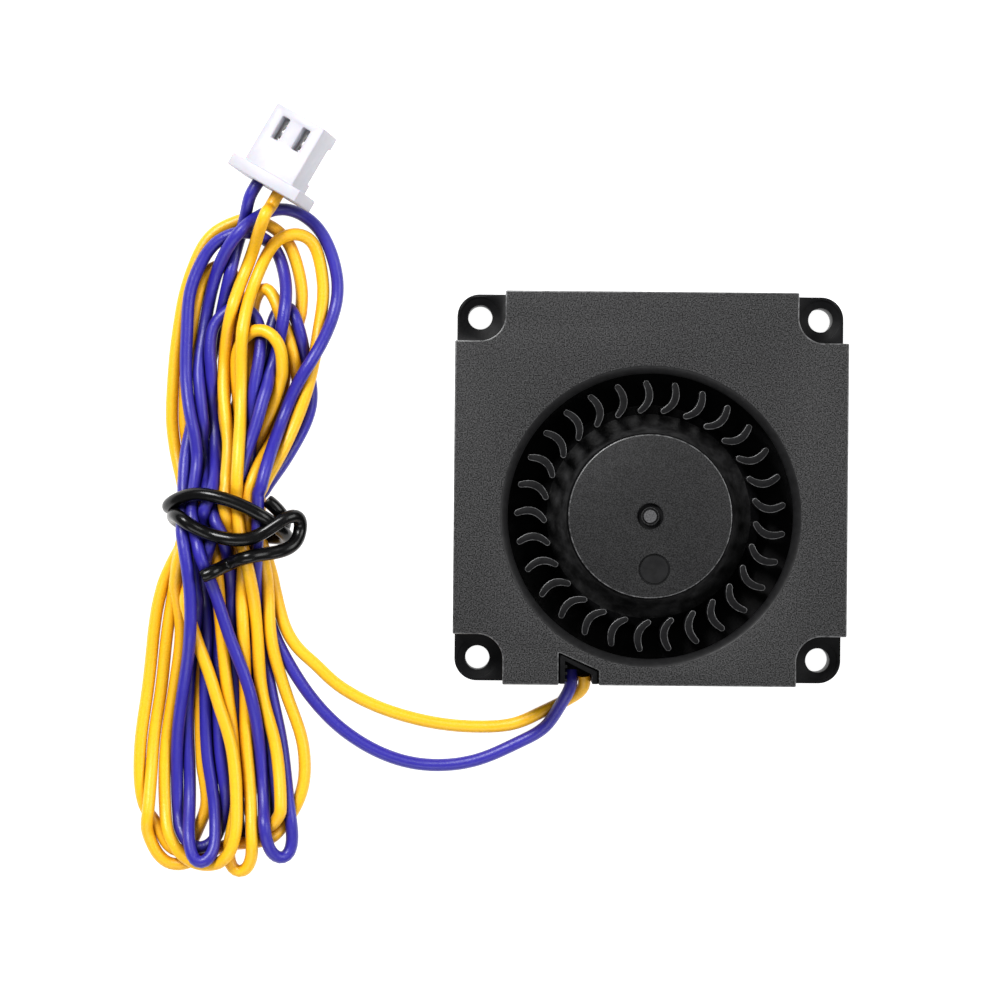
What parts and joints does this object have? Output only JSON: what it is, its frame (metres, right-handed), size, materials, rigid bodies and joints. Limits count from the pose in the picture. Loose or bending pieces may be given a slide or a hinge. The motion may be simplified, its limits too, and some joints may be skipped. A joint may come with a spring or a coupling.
{
  "type": "centrifugal blower fan",
  "caption": "Square centrifugal blower fan with a round top inlet, side outlet, corner mounting ears, spinning bladed rotor and a tied two-wire lead with a plug.",
  "frame": {"origin": "bottom centre of the 40 mm square housing, on its flat rear face", "axes": "+Z along the rotor axis from the rear face to the air inlet, +Y towards the air outlet, +X to the right seen from the inlet"},
  "size_m": [0.0728, 0.0799, 0.0101],
  "materials": {
    "housing_plastic": "smooth black",
    "cover_plastic": "fine spark-eroded texture, charcoal",
    "impeller_plastic": "satin black",
    "label_foil": "satin, blank",
    "brass": "turned",
    "bronze": "sintered, oil filled",
    "wear_plastic": "smooth",
    "board": "solder mask",
    "component_black": "moulded",
    "ceramic": "glazed",
    "insulator": "smooth",
    "lamination_steel": "stacked laminations",
    "copper": "enamelled wire",
    "steel": "ground",
    "magnet": "ferrite",
    "blue_wire": "satin PVC",
    "yellow_wire": "satin PVC",
    "tie_plastic": "gloss PVC coating",
    "white_nylon": "satin",
    "tin": "tin plated"
  },
  "bodies": {
    "housing": {"base_housing": "housing_plastic", "top_cover": "cover_plastic", "rear_label": "label_foil", "bearing_tube": "brass", "thrust_pad": "wear_plastic", "sleeve_bush": "bronze", "circuit_board": "board", "driver_ic": "component_black", "capacitor": "ceramic", "resistor": "component_black", "insulator_lower": "insulator", "stator_core": "lamination_steel", "insulator_upper": "insulator", "coil_1": "copper", "coil_2": "copper", "coil_3": "copper", "coil_4": "copper", "blue_lead": "blue_wire", "yellow_lead": "yellow_wire", "blue_tail": "blue_wire", "yellow_tail": "yellow_wire", "wire_hank": "blue_wire", "twist_tie": "tie_plastic", "connector_housing": "white_nylon", "contact_blue": "tin", "contact_yellow": "tin"},
    "rotor": {"impeller": "impeller_plastic", "rotor_yoke": "steel", "rotor_magnet": "magnet", "shaft": "steel", "thrust_washer": "wear_plastic", "shaft_clip": "steel"}
  },
  "joints": [
    {"name": "rotor_spin", "type": "hinge", "parent": "housing", "child": "rotor", "pos_m": [0, -0.0028, 0.005], "axis": [0, 0, 1], "continuous": true}
  ]
}
